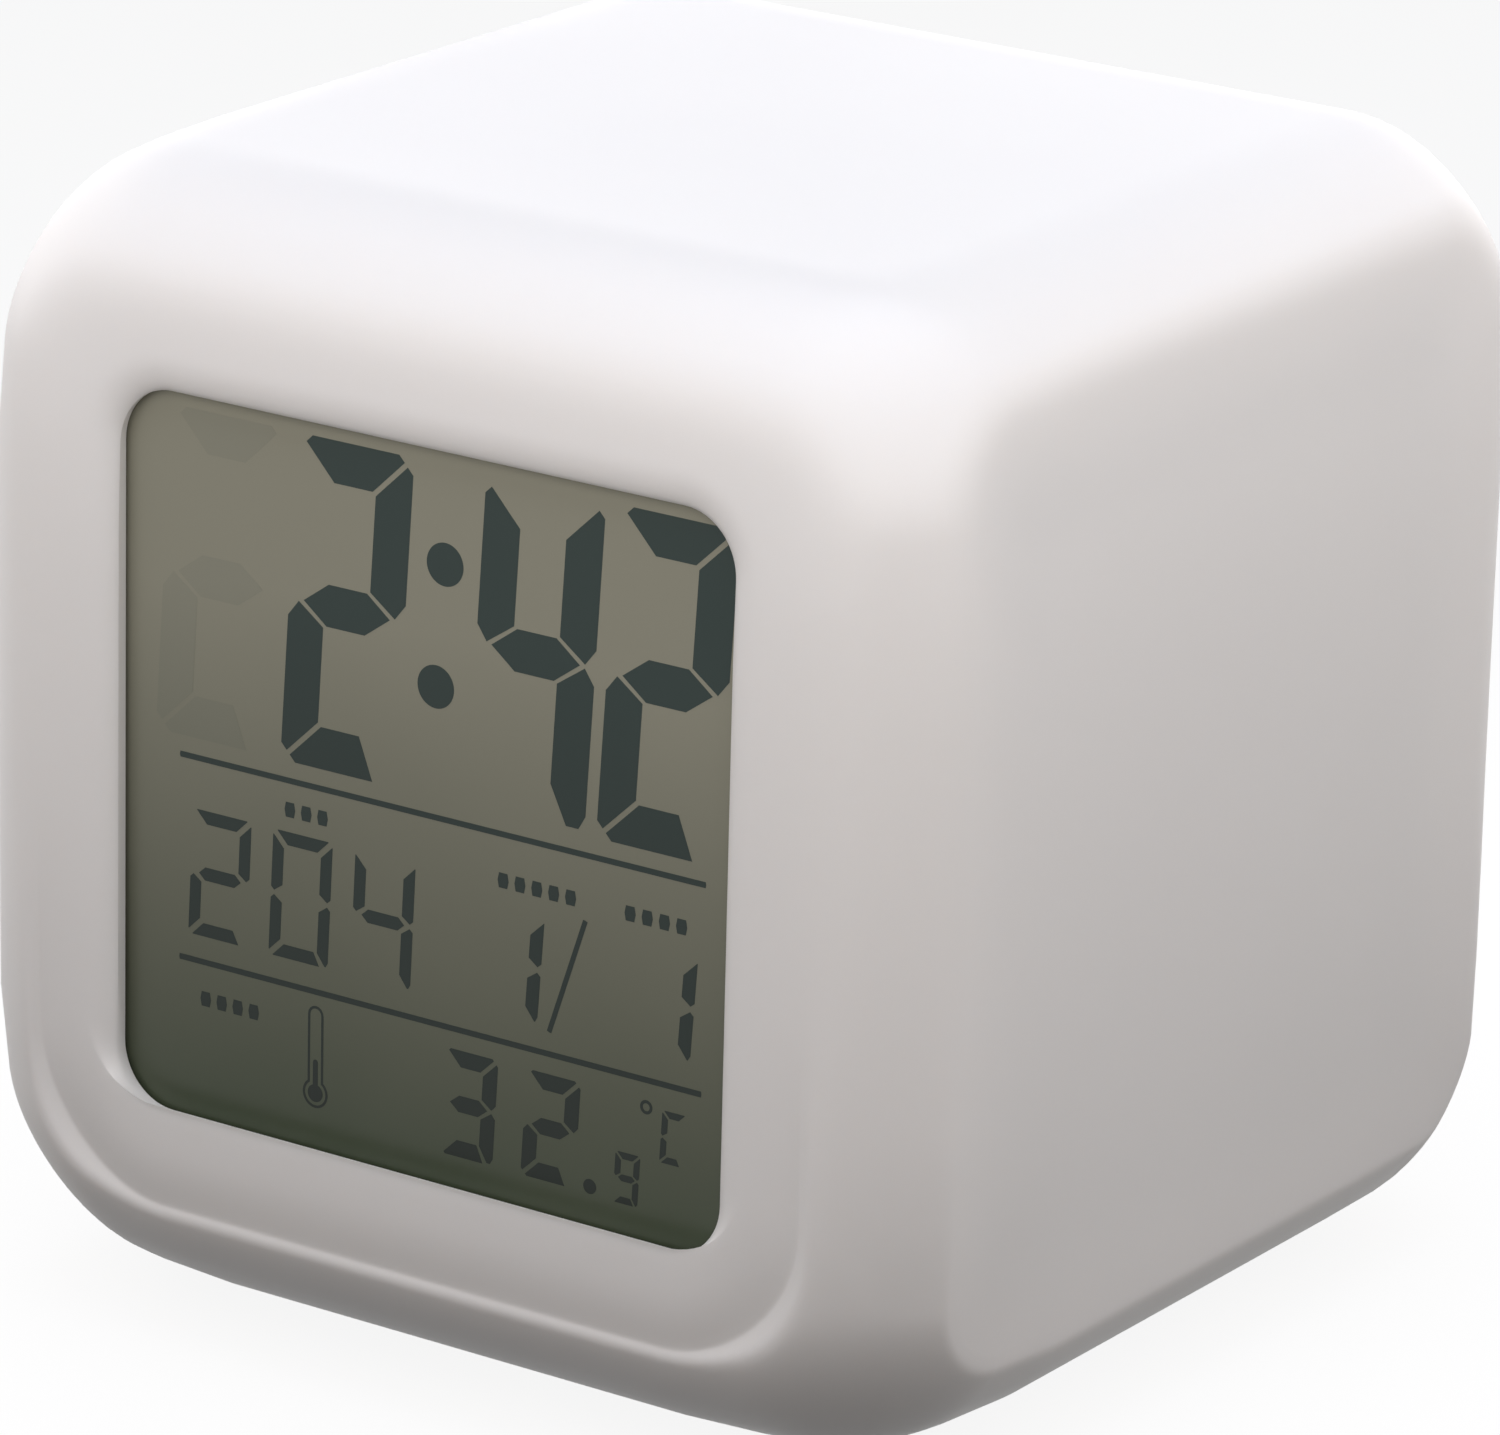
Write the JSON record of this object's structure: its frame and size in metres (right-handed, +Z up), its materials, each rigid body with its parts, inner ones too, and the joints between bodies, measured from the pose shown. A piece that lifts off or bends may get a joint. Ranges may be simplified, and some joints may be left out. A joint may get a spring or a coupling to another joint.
{
  "type": "digital clock",
  "caption": "Rounded milky cube clock with a recessed square calendar display, rear keys and battery door, standing on a sprung press base that lights it.",
  "frame": {"origin": "on the table under the middle of the clock, at the bottom of its feet", "axes": "+Z up, the display faces -Y, +X to the right seen from the front"},
  "size_m": [0.077, 0.0774, 0.078],
  "materials": {
    "milky_plastic": "satin, slightly translucent",
    "white_plastic": "satin",
    "clear_plastic": "clear moulded",
    "polariser_film": "grey-green film",
    "lcd_glass": "polished",
    "strip_rubber": "matte",
    "foot_rubber": "matte",
    "circuit_board": "solder mask",
    "black_plastic": "matte",
    "plated_steel": "bright plated",
    "cell_skin": "plain shrink sleeve",
    "lead_insulation": "matte"
  },
  "bodies": {
    "case": {"base_spring": "plated_steel", "battery_1": "cell_skin", "battery_2": "cell_skin", "battery_3": "cell_skin", "board_screw_1": "plated_steel", "board_screw_2": "plated_steel", "board_screw_3": "plated_steel", "board_screw_4": "plated_steel", "controller_chip": "black_plastic", "cover_screw_1": "plated_steel", "cover_screw_2": "plated_steel", "cover_screw_3": "plated_steel", "cover_screw_4": "plated_steel", "crystal": "plated_steel", "down_switch": "plated_steel", "front_polariser": "polariser_film", "glow_lamp_1": "clear_plastic", "glow_lamp_2": "clear_plastic", "key_board": "circuit_board", "lcd_frame": "white_plastic", "lcd_front_glass": "lcd_glass", "lcd_rear_glass": "lcd_glass", "light_board": "circuit_board", "light_guide": "clear_plastic", "light_lead": "lead_insulation", "light_switch": "plated_steel", "link_contact_lower": "plated_steel", "link_contact_upper": "plated_steel", "main_board": "circuit_board", "mode_switch": "plated_steel", "negative_contact": "plated_steel", "positive_contact": "plated_steel", "rear_cover": "milky_plastic", "rear_polariser": "polariser_film", "ribbon_cable": "lead_insulation", "set_switch": "plated_steel", "shell": "milky_plastic", "slide_switch": "plated_steel", "sounder": "black_plastic", "temperature_sensor": "black_plastic", "up_switch": "plated_steel", "zebra_strip_lower": "strip_rubber", "zebra_strip_upper": "strip_rubber"},
    "base": {"base_plate": "white_plastic", "foot_1": "foot_rubber", "foot_2": "foot_rubber", "foot_3": "foot_rubber", "foot_4": "foot_rubber", "light_switch_plunger": "black_plastic"},
    "mode_button": {"mode_key": "white_plastic", "mode_plunger": "black_plastic"},
    "set_button": {"set_key": "white_plastic", "set_plunger": "black_plastic"},
    "up_button": {"up_key": "white_plastic", "up_plunger": "black_plastic"},
    "down_button": {"down_key": "white_plastic", "down_plunger": "black_plastic"},
    "light_slider": {"slide_knob": "black_plastic"},
    "door": {"battery_door": "milky_plastic"}
  },
  "joints": [
    {"name": "base_press", "type": "slide", "parent": "case", "child": "base", "axis": [0, 0, 1], "range_m": [0, 0.0006], "stiffness_N_per_m": 1200, "springref_m": -0.0025, "deforming": ["base_spring"]},
    {"name": "mode_press", "type": "slide", "parent": "case", "child": "mode_button", "axis": [0, -1, 0], "range_m": [0, 0.0006], "stiffness_N_per_m": 800, "springref_m": -0.0008},
    {"name": "set_press", "type": "slide", "parent": "case", "child": "set_button", "axis": [0, -1, 0], "range_m": [0, 0.0006], "stiffness_N_per_m": 800, "springref_m": -0.0008},
    {"name": "up_press", "type": "slide", "parent": "case", "child": "up_button", "axis": [0, -1, 0], "range_m": [0, 0.0006], "stiffness_N_per_m": 800, "springref_m": -0.0008},
    {"name": "down_press", "type": "slide", "parent": "case", "child": "down_button", "axis": [0, -1, 0], "range_m": [0, 0.0006], "stiffness_N_per_m": 800, "springref_m": -0.0008},
    {"name": "light_slide", "type": "slide", "parent": "case", "child": "light_slider", "axis": [0, 0, 1], "range_m": [0, 0.0024]},
    {"name": "door_hinge", "type": "hinge", "parent": "case", "child": "door", "pos_m": [0, 0.037, 0.0153], "axis": [-1, 0, 0], "range_deg": [0, 95]}
  ]
}
